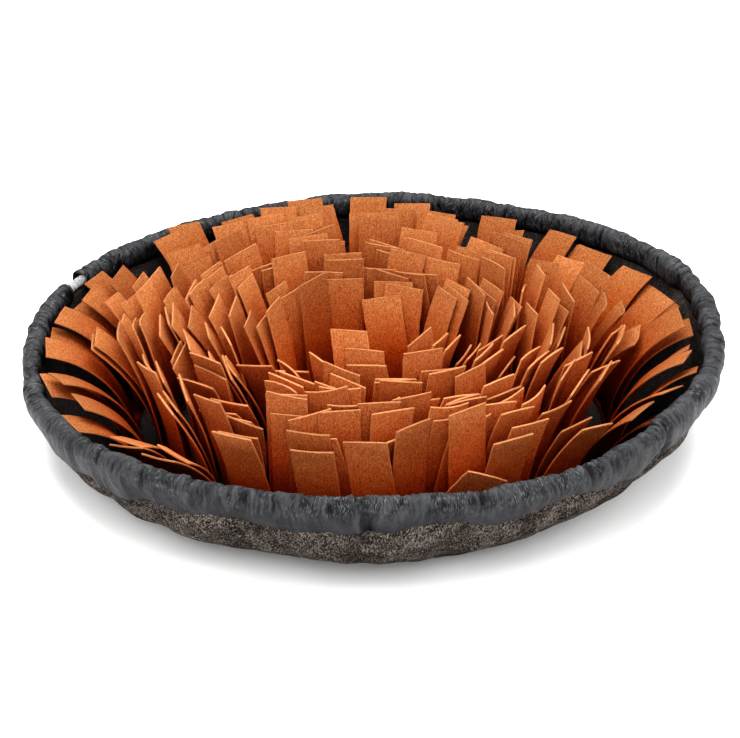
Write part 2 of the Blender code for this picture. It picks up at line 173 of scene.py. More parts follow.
BASE_STEPS = 480  # sections of the felt wall round the mat
FLOOR_ROWS = (0.15, 0.3, 0.45, 0.6, 0.75, 0.88, 0.96)  # rings of points on the floor, by its radius
WALL_STEPS = 26  # rows from the floor's edge to the rim
FOLDS = 1.3 * MM  # height of the soft folds in the wall's upper half
FOLDS_FROM = 0.12  # part of the way up where they start
FOLDS_OVER = 0.95  # part of the way up that they cover
LUMPS = 2.1 * MM  # height of the lumps lower down
LUMPS_ON_FLOOR = 0.4  # part of it that they have at the floor's edge
RUFFLES = table(  # the noises in both: cells in a turn, change on the way up, share
    "kind cells rise seed share",
    ("folds", 70, 1.1, 3.1, 1), ("folds", 150, 1.6, 8.4, 0.5),
    ("lumps", 48, 2.0, 1.7, 1), ("lumps", 110, 3.0, 5.2, 0.7),
)
PINCHES = table(  # hollows down the felt's wall, under the casing's hem
    "azimuth deep_mm half_deg",
    (201, 3.5, 3.0), (218.5, 3.0, 2.2), (232, 4.0, 2.6), (249, 2.5, 2.2), (268.6, 4.5, 1.8),
    (284, 4.5, 2.8), (301, 3.5, 3.0), (321, 4.0, 2.6), (338, 3.5, 3.0), (20, 3.5, 3.0), (52, 3.0, 2.4),
    (83, 3.5, 3.2), (118, 3.5, 2.6), (140, 3.0, 3.0), (172, 3.5, 2.6),
)
RIM_FROM = 0.9  # part of the way up where the folds get flatter
RIM_CALM = 0.6  # and by how much they are flatter at the rim
UNDER_CORD = 2.3 * MM  # how much higher the felt's edge is under the bare cord
UNDER_CORD_REACH = 3.2  # degrees past the gap where it is back at its own height
UNDER_CORD_OVER = 2.0  # degrees over which it comes down

CASING_STEPS = 2300  # sections of the casing round the mat
CREST_ROWS = 10  # rows of cloth over its rounded top
LAP_ROWS = 14  # rows of cloth down its outer lap
LINING_ROWS = 6  # rows of its hidden inner face
NYLON = 0.45 * MM  # thickness of its cloth
LAP_EDGE = 0.35 * MM  # from its cloth to the felt
LAP_BELLY = 0.8 * MM  # how far the outer lap bulges
LAP_OFF = 1.5 * MM  # how far its foot stands off the felt, before the hem turns in
CREST_DOWN = 18.0  # from the inner hem up to the crest, in millimetres along the cloth
INNER_ROWS = table(  # the inner lap from its hem up: parts of CASING_HALF and of INNER_LAP
    "out down gathered",
    (0.5, 1, 0.2), (0.86, 0.72, 0.8), (1, 0.45, 1), (1, 0.2, 1),
)
HEM_TURN = ((0.4 * MM, -0.25 * MM), (0, 0.8 * MM))  # the hem's last rows, out and up from the lap's foot
HEM_ROWS = 3  # rows at the outer hem that lie flat and are painted dark, the painted shade under the hem
HEM_LIFT = 0.4 * MM  # the most that they are lifted
# The noises in the casing: how long each is round the mat and down the cloth, how strong it is, and how much
# it adds to the painted highlight and shade (ridge)
WAVES = {row["name"]: row for row in table(
    "name round_mm down_mm layer sharp size ridge",
    ("sway", 42, 26, 1.3, 0, 3.0, 0), ("jitter", 13, 9, 4.4, 0, 1.6, 0), ("patch", 34, 1, 7.7, 0, 0.9, 0),
    ("spread", 16, 1, 3.9, 0, 2, 0), ("broad", 19, 50, 2.3, 0, 1.2, 0.4),
    ("fold", 12, 30, 8.8, 2.2, 0.85, 0.45), ("pleat", 4.6, 16, 6.1, 2.6, 0.6, 0.9),
    ("crinkle", 1.8, 8, 9.7, 0, 0.35, 1.5), ("hem", 21, 1, 5.5, 0, 1.8, 0),
    ("hem_short", 7, 1, 8.5, 0, 1.2, 0), ("rise", 14, 1, 7.7, 0, 0.45, 0),
)}
PATCH_MEAN = 0.8  # how strong the fine gathers are, on average
PATCH_LEAST = 0.3  # and where they are weakest
LOOSE_FOLDS = 0.65  # how strong the broad folds are where the cloth isn't gathered
RIDGE_FROM = 0.15  # height of the fine gathers over which they get painted highlight
SIDE_FOLDS = 0.45  # how much stronger the broad folds are at the sides
BACK_FOLDS = 0.35  # how much weaker they are at the back
CREASES = table(  # hollows in the casing, each beside a ridge: slants, starts and ends
    "azimuth half_mm deep_mm slant_mm from_mm to_mm",
    (196, 2.2, 1.0, 6, -6, 9), (208, 1.6, 0.8, -5, 0, 12), (222.5, 2.0, 1.0, 5, -4, 10),
    (231.4, 2.8, 1.4, 7, -4, 16), (241, 1.5, 0.8, -5, -6, 8), (249.5, 2.2, 1.0, 6, -2, 12),
    (258.6, 1.5, 0.9, -6, -3, 12), (263.6, 1.4, 0.9, 5, 0, 14), (268.6, 3.0, 2.2, 3, -5, 40),
    (274.6, 1.3, 0.8, -5, -5, 9), (279, 1.4, 0.9, 5, -3, 11), (287, 2.0, 0.8, -5, 0, 10),
    (300.3, 2.2, 1.1, -6, -4, 13), (311, 1.8, 0.9, 5, -5, 9), (321.5, 2.6, 1.4, 6, 0, 40),
    (333, 1.6, 0.9, -6, -6, 10), (344, 2.0, 1.0, 5, -8, 8),
)
CREASE_SLANT_OVER = 20  # millimetres down the cloth over which a crease slants by its slant_mm
CREASE_FADES = (4, 5)  # millimetres over which a crease starts and ends
CREASE_SIDE = 1.6  # how far the ridge beside a crease is from it, in its half widths
CREASE_SIDE_HALF = 0.7  # half width of that ridge, likewise
CREASE_REACH = 24  # millimetres round the rim past which it isn't felt
CALM_OVER = 14  # millimetres past the cord's seats over which hollows in the casing set in
CALMEST = 0.2  # what is left of them there, so that the cord's ends stay covered

CORD_STEPS = 56  # sections of the cord
CORD_ROUND = 28  # points round each
CORD_END = 0.5  # how thick its hidden ends are
BRAID = 0.25 * MM  # how far its strands stand out
STRANDS = 4  # strands each way round
BRAID_TURN = 34  # radians that their pattern turns by over the cord's length

LEAF_STEPS = 18  # sections along a leaf
FINE = 5  # steps of its middle line for each section
SKIN_SEED = 5  # seed of a leaf's twist, cupping, cut and tone
TWIST = 3.2  # degrees by which its tip is twisted, in spread
CUP = 4.5 * MM  # how deep the most bent bunches are cupped
CUP_SPREAD = 0.3  # millimetres that a leaf differs from that, in spread
CUP_AT_ROOT = 0.25  # part of it that there is at the root
BOW = 0.7 * MM  # slow bends through a leaf
WAVER = 0.012  # how much its width wavers
RAGGED = 0.3 * MM  # how rough its cut edges are
SLANT = 0.035  # how far its tip is cut off square, in spread
TIP_FROM = 0.8  # part of the way up it where the slant sets in
TIP_OUT = 0.12 * MM  # how far the middle of its tip stands out
TIP_CUT = 0.2  # how much the last section's faces look like cut edge
CROSS = table(  # its section, in parts of its half width and half thickness
    "across through cut",
    (-0.98, 1, 0.25), (-0.92, 1, 0), (-0.46, 1, 0), (0, 1, 0), (0.46, 1, 0), (0.92, 1, 0), (0.98, 1, 0.25),
    (1, 0.4, 1), (1, -0.4, 1), (0.98, -1, 0.25), (0.92, -1, 0), (0.46, -1, 0), (0, -1, 0), (-0.46, -1, 0),
    (-0.92, -1, 0), (-0.98, -1, 0.25), (-1, -0.4, 1), (-1, 0.4, 1),
)
RING_PAINTED_LIGHT = (1.03, 1.08, 1.09, 1.04, 0.89)  # painted light and shade: how much lighter or darker each ring's felt is painted
FRONT_PAINTED_LIGHT = 0.12  # painted light: how much lighter it is painted in front
RIGHT_BACK = 50  # azimuth where it is painted darker, as painted shade
# painted shade: how much darker it is painted there
RIGHT_BACK_PAINTED_SHADE = 0.06
SIDES_PAINTED_SHADE = 0.10  # painted shade: how much darker the outermost ring is painted at the sides
TONE_SPREAD = 0.10  # how much a leaf differs from its neighbours, in spread
BACKING_TONE = 0.9
BACKING_STEP = 3  # degrees between its sections, at most
FOOT_BEVEL = (0.4 * MM, 0.2 * MM)  # bevels along its lower and upper edges, across and up
TOP_BEVEL = (0.5 * MM, 0.3 * MM)


# ---- The CAD's functions, and what they share with the finer pieces

def smooth_between(a, b, c, d, t):
    """A smooth value at a part of the way from b to c, with a before them and d after them."""
    return b + 0.5 * t * (c - a + t * (2 * a - 5 * b + 4 * c - d + t * (3 * (b - c) + d - a)))


def row_faces(first, rows, count, closed=True, flip=False):
    """The faces between rows of points that follow each other; a closed row goes round."""
    faces = []
    for row in range(rows - 1):
        a, b = first + row * count, first + (row + 1) * count
        for i in range(count if closed else count - 1):
            k = (i + 1) % count
            faces.append((a + i, b + i, b + k, a + k) if flip else (a + i, a + k, b + k, b + i))
    return faces


def tube_faces(first, rows, count, flip=False):
    """The faces of a tube with closed ends."""
    start = tuple(range(first, first + count))
    end = tuple(range(first + (rows - 1) * count, first + rows * count))
    return row_faces(first, rows, count, flip=flip) + ([start, end[::-1]] if flip else [start[::-1], end])


def around(rows, azimuth, column):
    """The value of a column at an azimuth, smooth between the rows of a table that goes right round."""
    azimuth = azimuth % 360
    low = max(i for i, row in enumerate(rows) if row["azimuth"] <= azimuth)
    start, end = rows[low]["azimuth"], rows[(low + 1) % len(rows)]["azimuth"]
    t = (azimuth - start) / ((end - start) % 360)
    return smooth_between(*(rows[(low + k) % len(rows)][column] for k in (-1, 0, 1, 2)), t)


def polar(radius, azimuth, height, centre=(0, 0)):
    """A point from its distance to a centre, its azimuth there and its height."""
    angle = math.radians(azimuth)
    return Vector((centre[0] + radius * math.cos(angle), centre[1] + radius * math.sin(angle), height))


def rim(azimuth):
    """Radius and height of the middle of the casing's rounded top, and its outer lap."""
    return (around(RIM, azimuth, "radius_mm") * MM, around(RIM, azimuth, "height_mm") * MM,
            around(HEM, azimuth, "lap_mm") * MM)


def pucker(azimuth):
    """How far the puckers push the wall out at an azimuth."""
    total = 0.0
    for row in PUCKERS:
        off = abs((azimuth - row["azimuth"] + 180) % 360 - 180) / row["half_width"]
        if off < 1:
            total += row["out_mm"] * MM * math.cos(off * math.pi / 2) ** 2
    return total


def wall_point(azimuth, out, up):
    """Radius and height of a point of the wall's outer face."""
    radius, height, _ = rim(azimuth)
    edge = radius + FELT / 2
    top = height - CORE_DEPTH - EDGE_CLEAR
    swell = pucker(azimuth) * math.sin(math.pi * min(1, up * 1.25)) ** 1.5
    belly = around(RIM, azimuth, "belly")
    return FLOOR_RADIUS + out * (edge - FLOOR_RADIUS) + swell, (belly * up + (1 - belly) * out) * top


def leaf_axes(leaf, t, twist=0.0):
    """The directions along and across a leaf and the way it faces, at a part of the way up it."""
    yaw = math.radians(leaf["azimuth"] + leaf["yaw"])
    out = Vector((math.cos(yaw), math.sin(yaw), 0))
    across = Vector((-math.sin(yaw), math.cos(yaw), 0))
    side = math.radians(leaf["side"])
    lean = math.radians(leaf["lean"] * (1 + leaf["bend"] * (t - 0.5)))
    upright = math.cos(side) * Vector((0, 0, 1)) + math.sin(side) * across
    along = math.cos(lean) * upright + math.sin(lean) * out
    width = math.cos(side) * across - math.sin(side) * Vector((0, 0, 1)) if t > 0 else across
    facing = width.cross(along).normalized()
    if twist:
        width = Matrix.Rotation(twist, 3, along) @ width
        facing = Matrix.Rotation(twist, 3, along) @ facing
    return along, width, facing


def leaf_line(leaf, steps, length, twist=0.0):
    """The points of a leaf's middle line from inside its backing up, with the directions there."""
    place = polar(leaf["radius"], leaf["azimuth"], FELT + GAP + BACKING - ROOT_DEPTH, leaf["centre"])
    for i in range(steps + 1):
        t = i / steps
        along, width, facing = leaf_axes(leaf, t, twist * t * t)
        yield i, place, along, width, facing
        place = place + along * (length / steps)


def leaf_sections(leaf, segments, grow=0.0):
    """Corner points of the CAD leaf's sections from root to tip."""
    sections = []
    for i, place, _, width, facing in leaf_line(leaf, segments * LINE_STEPS, leaf["length"] + grow):
        if i % LINE_STEPS == 0:
            half_width = width * (leaf["width"] / 2 + grow)
            half_thick = facing * (LEAF / 2 + grow)
            sections.append([place - half_width - half_thick, place + half_width - half_thick,
                             place + half_width + half_thick, place - half_width + half_thick])
    return sections


def tree_of_sections(sections):
    """A search tree over a leaf's sides, to test it against its neighbours."""
    points = [point for section in sections for point in section]
    faces = [(0, 1, 2, 3), *row_faces(0, len(sections), 4), tuple(range(len(points) - 4, len(points)))]
    return BVHTree.FromPolygons(points, faces)


def tree_of_node(node):
    """A search tree over a CAD node's surface."""
    mesh = bpy.data.objects[node].data
    return BVHTree.FromPolygons([v.co for v in mesh.vertices], [tuple(p.vertices) for p in mesh.polygons])


def fits(leaf, segments, placed, walls):
    """True if a leaf stays clear of the leaves already placed and of the wall and the casing."""
    if leaf["lean"] > LAID and max(point.z for point in leaf_sections(leaf, segments)[-1]) > LAID_TOP:
        return False
    tree = tree_of_sections(leaf_sections(leaf, segments, LEAF_CLEAR))
    middle = polar(leaf["radius"], leaf["azimuth"], 0, leaf["centre"])
    for other in placed:
        if (other["middle"] - middle).length < NEAR and tree.overlap(other["tree"]):
            return False
    wide = tree_of_sections(leaf_sections(leaf, segments, WALL_CLEAR))
    if any(wide.overlap(wall) for wall in walls):
        return False
    leaf["tree"] = tree_of_sections(leaf_sections(leaf, segments))
    leaf["middle"] = middle
    return True


def arc_span(ring, arc):
    """The azimuth where an arc's backing starts and how many degrees it covers."""
    slack = math.degrees(ARC_GAP / (ring["radius_mm"] * MM))
    start = ring["first"] - 180 / ring["places"] + arc * 360 / ring["arcs"] + slack
    return start, 360 / ring["arcs"] - 2 * slack


def on_its_arc(azimuth, ring, arc, radius):
    """The azimuth nearest to the wanted one where a leaf's whole root stands on its own arc's backing."""
    start, sweep = arc_span(ring, arc)
    reach = math.degrees(math.asin(ROOT_REACH / radius))
    return min(max(azimuth, start + reach), start + sweep - reach)


def lay_out(ring_number, place, layer, bunch, loose, draw):
    """One try at a leaf: its bunch's lean and turn, and a little of its own, more when it has to give way."""
    ring = RINGS[ring_number - 1]
    outermost = ring_number == len(RINGS)
    spread = 2 * layer / (ring["leaves"] - 1) - 1
    azimuth = ring["first"] + (place + ring["stagger"] * spread + bunch["shift"]) * 360 / ring["places"]
    mean = {
        "lean": around(LEANS, azimuth, f"ring_{ring_number}") + bunch["lean"] + FAN * spread,
        "yaw": bunch["yaw"] * (1 - SETTLE * loose),
        "side": bunch["side"],
        "length_mm": LEAF_LENGTH / MM,
    }
    scatter = 1 + LOOSEN * loose
    for stray in STRAYS:
        if (stray["ring"], stray["place"], stray["layer"]) == (ring_number, place, layer):
            mean, scatter = stray, STRAY_NOISE
    arc = place * ring["arcs"] // ring["places"]
    radius = ring["radius_mm"] * MM + spread * ROOT_SPREAD
    return {
        "ring": ring_number, "place": place, "arc": arc,
        "centre": (ring["x_mm"] * MM, ring["y_mm"] * MM),
        "radius": radius,
        "azimuth": on_its_arc(azimuth, ring, arc, radius),
        "bend": around(LEANS, azimuth, "ring_5_bend") if outermost else BEND,
        **{key: mean[key] + draw.gauss(0, usual) * scatter for key, usual in LEAF_SPREAD.items()},
        "width": LEAF_WIDTH * draw.uniform(*WIDTHS),
        "length": mean["length_mm"] * MM * draw.uniform(*LENGTHS) * (1 - SHORTEN * loose),
    }


def plan_leaves(walls):
    """Lean, turn and size of every leaf, exactly as in the CAD."""
    placed = []
    for ring_number, ring in enumerate(RINGS, 1):
        draw = random.Random(ring["seed"])
        for place in range(ring["places"]):
            spreads = OUTER_SPREAD if ring_number == len(RINGS) else BUNCH_SPREAD
            bunch = {key: draw.gauss(0, usual) for key, usual in spreads.items()}
            for layer in range(ring["leaves"]):
                for attempt in range(TRIES):
                    leaf = lay_out(ring_number, place, layer, bunch, attempt / TRIES, draw)
                    if fits(leaf, ring["steps"], placed, walls):
                        placed.append(leaf)
                        break
    return placed


# ---- Camera, light and floor

def add_to_scene(name, data):
    """A new object of a camera, a lamp or a mesh."""
    obj = bpy.data.objects.new(name, data)
    bpy.context.scene.collection.objects.link(obj)
    return obj


def aim(obj, way):
    """Turn a camera or a lamp so that it looks along a direction."""
    obj.rotation_euler = way.to_track_quat("-Z", "Y").to_euler()


def set_camera():
    """The camera in front of the mat, low and with a long lens."""
    camera = add_to_scene("camera", bpy.data.cameras.new("camera"))
    camera.data.sensor_fit = "HORIZONTAL"
    camera.data.sensor_width = SENSOR
    camera.data.lens = SENSOR * FOCAL / PICTURE
    camera.data.shift_x = SHIFT_ACROSS / PICTURE
    camera.data.shift_y = SHIFT_UP / PICTURE
    camera.data.clip_end = FAR_CLIP
    elevation = math.radians(CAMERA_UP)
    away = Vector((0, -math.cos(elevation), math.sin(elevation)))
    camera.location = Vector((0, 0, LOOK_AT)) + away * CAMERA_AWAY
    aim(camera, -away)
    bpy.context.scene.camera = camera


def set_lights():
    """A white world and four soft lamps: over the mat, in front of it and at both sides."""
    world = bpy.data.worlds.new("studio")
    bpy.context.scene.world = world
    world.use_nodes = True
    sky = world.node_tree.nodes["Background"]
    sky.inputs["Color"].default_value = (1, 1, 1, 1)
    sky.inputs["Strength"].default_value = SKY
    for row in LAMPS:
        lamp = add_to_scene(row["name"], bpy.data.lights.new(row["name"], "AREA"))
        lamp.data.energy = row["energy"]
        lamp.data.shape = "DISK"
        lamp.data.size = row["size"]
        lamp.location = (row["x"], row["y"], row["z"])
        aim(lamp, Vector((0, 0, LAMPS_AIM)) - lamp.location)


def set_contrast():
    """A curve that shows dark places darker than they are."""
    view = bpy.context.scene.view_settings
    view.view_transform = "Standard"
    view.use_curve_mapping = True
    for row in CONTRAST:
        view.curve_mapping.curves[ALL_CHANNELS].points.new(row["light"], row["shown"])
    view.curve_mapping.update()


def make_floor():
    """A wide, plain, pale floor."""
    corners = [(x * FLOOR_HALF, y * FLOOR_HALF, 0) for x, y in ((-1, -1), (1, -1), (1, 1), (-1, 1))]
    floor = mesh_piece("floor", corners, [(0, 1, 2, 3)], plain_material("pale_floor", FLOOR_COLOR, 0.9))
    floor.location.z = -FLOOR_DROP


# ---- Materials

def plain_material(name, color, roughness):
    """A new material with one Principled shader."""
    made = bpy.data.materials.new(name)
    made.use_nodes = True
    shader = made.node_tree.nodes["Principled BSDF"]
    shader.inputs["Base Color"].default_value = (*color, 1)
    shader.inputs["Roughness"].default_value = roughness
    shader.inputs["Metallic"].default_value = 0
    return made


class Nodes:
    """Short calls to build one material's nodes."""

    def __init__(self, name, color, roughness):
        self.material = plain_material(name, color, roughness)
        self.tree = self.material.node_tree
        self.shader = self.tree.nodes["Principled BSDF"]
        self.place = self.make("ShaderNodeTexCoord").outputs["Object"]

    def make(self, kind, **settings):
        node = self.tree.nodes.new(kind)
        for key, value in settings.items():
            setattr(node, key, value)
        return node

    def put(self, value, socket):
        """Give a socket its value: a number, a colour or another node's output."""
        if isinstance(value, (int, float)):
            socket.default_value = value
        elif isinstance(value, tuple):
            socket.default_value = (*value, 1)
        else:
            self.tree.links.new(value, socket)

    def fill(self, node, **values):
        """Give a node's sockets their values; an underscore in a name stands for a space."""
        for name, value in values.items():
            self.put(value, node.inputs[name.replace("_", " ")])
        return node

    def turned(self, turn, scale=(1, 1, 1)):
        """Object coordinates, turned and then scaled."""
        node = self.fill(self.make("ShaderNodeMapping", vector_type="TEXTURE"), Vector=self.place)
        node.inputs["Rotation"].default_value = [math.radians(a) for a in turn]
        node.inputs["Scale"].default_value = [1 / part for part in scale]
        return node.outputs["Vector"]

    def on_cloth(self, shorten, sway):
        """The place on a gathered cloth: round the mat, swaying by so many metres, and down it, shortened."""
        turn, down = self.attribute("turn"), self.attribute("down")
        flat = self.fill(self.make("ShaderNodeCombineXYZ"), X=turn, Y=down)
        drift = self.ramp(self.noise(150, 1.0, vector=flat.outputs["Vector"]), 0.0, 1.0, -sway, sway)
        place = self.make("ShaderNodeCombineXYZ")
        self.fill(place, X=self.plus(turn, drift), Y=self.times(down, shorten))
        return place.outputs["Vector"]

    def noise(self, scale, detail=2.0, distortion=0.0, vector=None, roughness=0.5):
        node = self.make("ShaderNodeTexNoise")
        self.fill(node, Scale=scale, Detail=detail, Distortion=distortion, Roughness=roughness)
        return self.fill(node, Vector=vector or self.place).outputs["Fac"]

    def attribute(self, name):
        return self.make("ShaderNodeAttribute", attribute_name=name).outputs["Fac"]

    def ramp(self, value, low, high, out_low=0.0, out_high=1.0):
        """Map a value from one range to another, clamped."""
        node = self.make("ShaderNodeMapRange")
        self.fill(node, Value=value, From_Min=low, From_Max=high, To_Min=out_low, To_Max=out_high)
        return node.outputs["Result"]

    def math(self, operation, first, second):
        node = self.make("ShaderNodeMath", operation=operation)
        self.put(first, node.inputs[0])
        self.put(second, node.inputs[1])
        return node.outputs["Value"]

    def plus(self, first, second):
        return self.math("ADD", first, second)

    def times(self, first, second):
        return self.math("MULTIPLY", first, second)

    def mix(self, amount, first, second, blend="MIX"):
        """Mix two colours; each is a colour or another node's output."""
        node = self.make("ShaderNodeMix", data_type="RGBA", blend_type=blend)
        for value, number in ((amount, 0), (first, 6), (second, 7)):
            self.put(value, node.inputs[number])
        return node.outputs[2]

    def bump(self, height, distance, strength=1.0, normal=None):
        node = self.fill(self.make("ShaderNodeBump"), Strength=strength, Distance=distance, Height=height)
        if normal:
            self.fill(node, Normal=normal)
        return node.outputs["Normal"]

    def finish(self, color, normal, **others):
        """Give the shader its colour, its bumps and its other sockets' values."""
        self.fill(self.shader, Base_Color=color, Normal=normal, **others)
        return self.material


def rust_felt():
    """Pressed felt: rust orange and pebbly, with fibres in it, pale cut edges that are partly painted
    highlight, and painted shade that makes it darker and deeper red towards the roots.
    """
    dark, light, blotched = (0.256, 0.067, 0.019), (0.478, 0.187, 0.083), (0.300, 0.090, 0.028)
    pale_fibre, dark_fibre, pale_cut_and_highlight = (0.660, 0.275, 0.128), (0.160, 0.037, 0.010), (0.470, 0.205, 0.098)
    # painted shade: the colours that darken the leaves towards their roots, where shade falls between them
    painted_shade_low, painted_shade_root = (0.86, 0.50, 0.30), (0.115, 0.0125, 0.0018)
    n = Nodes("rust_felt_fine", (0.36, 0.085, 0.018), 0.95)
    grain = n.noise(1500, 2.0, 0.6, roughness=0.6)
    blotch = n.noise(90, 2.0)
    fibre_a = n.noise(1700, 2.0, 1.2, n.turned((35, 10, 0), (1, 0.35, 0.35)))
    fibre_b = n.noise(1000, 2.0, 1.2, n.turned((0, 40, 65), (0.3, 1, 0.3)))
    color = n.mix(n.ramp(grain, 0.36, 0.60), dark, light)
    color = n.mix(n.ramp(blotch, 0.35, 0.70, 0.0, 0.25), color, blotched)
    color = n.mix(n.ramp(fibre_a, 0.54, 0.66, 0.0, 0.48), color, pale_fibre)
    color = n.mix(n.ramp(fibre_b, 0.56, 0.66, 0.0, 0.38), color, dark_fibre)
    # pale cut edges, partly painted highlight along the leaves' edges
    color = n.mix(n.times(n.attribute("cut"), n.ramp(fibre_a, 0.40, 0.60, 0.5, 1.0)), color, pale_cut_and_highlight)
    way = n.attribute("way")
    # painted shade: darker and deeper red down each leaf, towards its root
    color = n.mix(n.ramp(way, 0.97, 0.50), color, painted_shade_low, "MULTIPLY")
    color = n.mix(n.ramp(way, 0.55, 0.10, 0.0, 0.9), color, painted_shade_root)
    # the tone attribute carries the painted light and shade by ring and azimuth
    tone = n.fill(n.make("ShaderNodeHueSaturation"), Color=color, Value=n.attribute("tone"))
    normal = n.bump(n.plus(grain, n.times(fibre_a, 1.2)), 0.0006)
    return n.finish(tone.outputs["Color"], normal, Specular_IOR_Level=0.02)


def melange_felt():
    """Thick charcoal felt with pale fibres blown through it, lying one way here and another way there, and
    painted light on the bowl's inner face.
    """
    dark, light, pale_fibre = (0.009, 0.0078, 0.0068), (0.036, 0.031, 0.0275), (0.185, 0.160, 0.144)
    blotched, inner_painted_light = (0.014, 0.012, 0.0105), (0.080, 0.072, 0.070)
    n = Nodes("melange_felt_fine", (0.030, 0.026, 0.023), 0.97)
    fibres = None
    for turn, stretch in (((20, 35, 0), (1, 0.28, 0.28)), ((70, 10, 40), (1, 0.28, 0.28)),
                          ((15, 60, 80), (0.28, 1, 0.28)), ((50, 25, 120), (0.28, 0.28, 1))):
        fibre = n.ramp(n.noise(1800, 1.0, 0.8, n.turned(turn, stretch)), 0.55, 0.61)
        patch = n.ramp(n.noise(85, 1.0, vector=n.turned(turn)), 0.40, 0.55)
        fibre = n.times(fibre, patch)
        fibres = n.math("MAXIMUM", fibres, fibre) if fibres else fibre
    mottle = n.noise(950, 2.0, roughness=0.6)
    color = n.mix(n.ramp(mottle, 0.40, 0.60), dark, light)
    color = n.mix(n.times(fibres, n.ramp(mottle, 0.30, 0.55, 0.4, 1.0)), color, pale_fibre)
    color = n.mix(n.ramp(n.noise(34, 3.0), 0.45, 0.72, 0.0, 0.5), color, blotched)
    # painted light: the bowl's inner face is painted lighter, to lift its shade
    color = n.mix(n.times(n.attribute("inside"), 0.6), color, inner_painted_light)
    normal = n.bump(n.plus(fibres, n.noise(1300, 2.0, roughness=0.6)), 0.0006)
    return n.finish(color, normal, Specular_IOR_Level=0.05)


def slate_nylon():
    """Thin nylon: a fine weave, with painted highlights on its thin wrinkles, pleats and ridges and painted
    shade at the pleats' feet and in its creases; the wrinkles and pleats are where it is gathered.
    """
    smooth, drawn_in, blotched = (0.0162, 0.0156, 0.0188), (0.0158, 0.0160, 0.0172), (0.0065, 0.0065, 0.0075)
    pleat_painted_highlight, pleat_painted_shade, wrinkle_painted_highlight = (0.040, 0.0405, 0.043), (0.0050, 0.0050, 0.0058), (0.118, 0.121, 0.126)
    ridge_painted_highlight, crease_painted_shade = (0.052, 0.053, 0.057), (0.0035, 0.0035, 0.004)
    n = Nodes("slate_nylon_fine", (0.009, 0.0088, 0.0105), 0.5)
    wrinkle = n.noise(1300, 1.0, 0.4, n.on_cloth(0.27, 0.0022), 0.6)
    pleat = n.noise(400, 2.0, 0.8, n.on_cloth(0.28, 0.003), 0.6)
    gathered = n.attribute("gathered")
    ridge = n.attribute("ridge")
    patch = n.ramp(n.noise(48, 2.0), 0.40, 0.60, 0.3, 1.0)
    color = n.mix(gathered, smooth, drawn_in)
    color = n.mix(n.ramp(n.noise(38, 2.0), 0.50, 0.66, 0.0, 0.35), color, blotched)
    # painted highlight on the pleats' tops and painted shade at their feet
    color = n.mix(n.times(n.ramp(pleat, 0.50, 0.62), n.ramp(gathered, 0.15, 1.0, 0.0, 0.6)), color, pleat_painted_highlight)
    color = n.mix(n.times(n.ramp(pleat, 0.48, 0.38), n.ramp(gathered, 0.1, 1.0, 0.0, 0.7)), color, pleat_painted_shade)
    # painted highlight along thin wrinkles
    light = n.times(n.ramp(wrinkle, 0.54, 0.64), patch)
    color = n.mix(n.times(light, n.ramp(gathered, 0.25, 0.9, 0.0, 0.7)), color, wrinkle_painted_highlight)
    # painted highlight on ridges and painted shade in creases and under the hem, from the ridge attribute
    color = n.mix(n.ramp(ridge, 0.2, 1.0, 0.0, 0.6), color, ridge_painted_highlight)
    color = n.mix(n.ramp(ridge, -0.15, -0.9, 0.0, 0.85), color, crease_painted_shade)
    crumple = n.noise(320, 4.0, 0.8, roughness=0.6)
    normal = n.bump(crumple, 0.0006, 0.35)
    normal = n.bump(n.times(n.plus(wrinkle, n.times(pleat, 2.0)), gathered), 0.0008, normal=normal)
    normal = n.bump(n.noise(2600, 1.0), 0.0001, 0.4, normal)
    roughness = n.ramp(crumple, 0.3, 0.7, 0.45, 0.62)
    return n.finish(color, normal, Roughness=roughness, Specular_IOR_Level=0.18)


def cord_cotton():
    """Pale grey braided cord, a little fuzzy."""
    dark, light = (0.130, 0.130, 0.126), (0.330, 0.330, 0.320)
    n = Nodes("cord_fine", (0.55, 0.55, 0.53), 0.9)
    mottle = n.noise(900, 3.0)
    color = n.mix(n.ramp(mottle, 0.35, 0.65), dark, light)
    return n.finish(color, n.bump(mottle, 0.0003, 0.8), Sheen_Weight=0.3, Sheen_Roughness=0.5)


# ---- Shapes

def mesh_piece(name, points, faces, material, attributes=None):
    """A new piece from points and faces, with a number at each point for each attribute."""
    mesh = bpy.data.meshes.new(name)
    mesh.from_pydata([tuple(p) for p in points], [], faces)
    for key, values in (attributes or {}).items():
        mesh.attributes.new(key, "FLOAT", "POINT").data.foreach_set("value", values)
    mesh.shade_smooth()
    mesh.materials.append(material)
    mesh.update()
    return add_to_scene(name, mesh)


def dress(obj, node):
    """Let a piece ride on the body and stand for a CAD node, which it hides."""
    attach(obj, "root")
    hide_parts(node)


def clamp(value):
    """A value, kept between 0 and 1."""
    return min(1.0, max(0.0, value))


def noise_at(x, y=0.0, z=0.0):
    """Smooth noise, about -1 to 1."""
    return noise.noise(Vector((x, y, z)))


def spin_noise(azimuth, cells, height, seed):
    """Smooth noise that closes round the mat, with about this many cells in a turn."""
    radius = cells / (2 * math.pi)
    angle = math.radians(azimuth)
    return noise_at(radius * math.cos(angle) + seed, radius * math.sin(angle) - seed, height)


def wall_curve(s):
    """How far out and up the wall is at a part of the way along its rows, smooth between them."""
    last = len(WALL) - 1
    low = min(int(s * last), last - 1)
    near = [WALL[min(max(low + k, 0), last)] for k in (-1, 0, 1, 2)]
    return [smooth_between(*(row[key] for row in near), s * last - low) for key in ("out", "up")]


def ruffle(kind, azimuth, up):
    """One kind of unevenness of the felt wall, about -1 to 1."""
    return sum(row["share"] * spin_noise(azimuth, row["cells"], up * row["rise"], row["seed"])
               for row in RUFFLES if row["kind"] == kind)


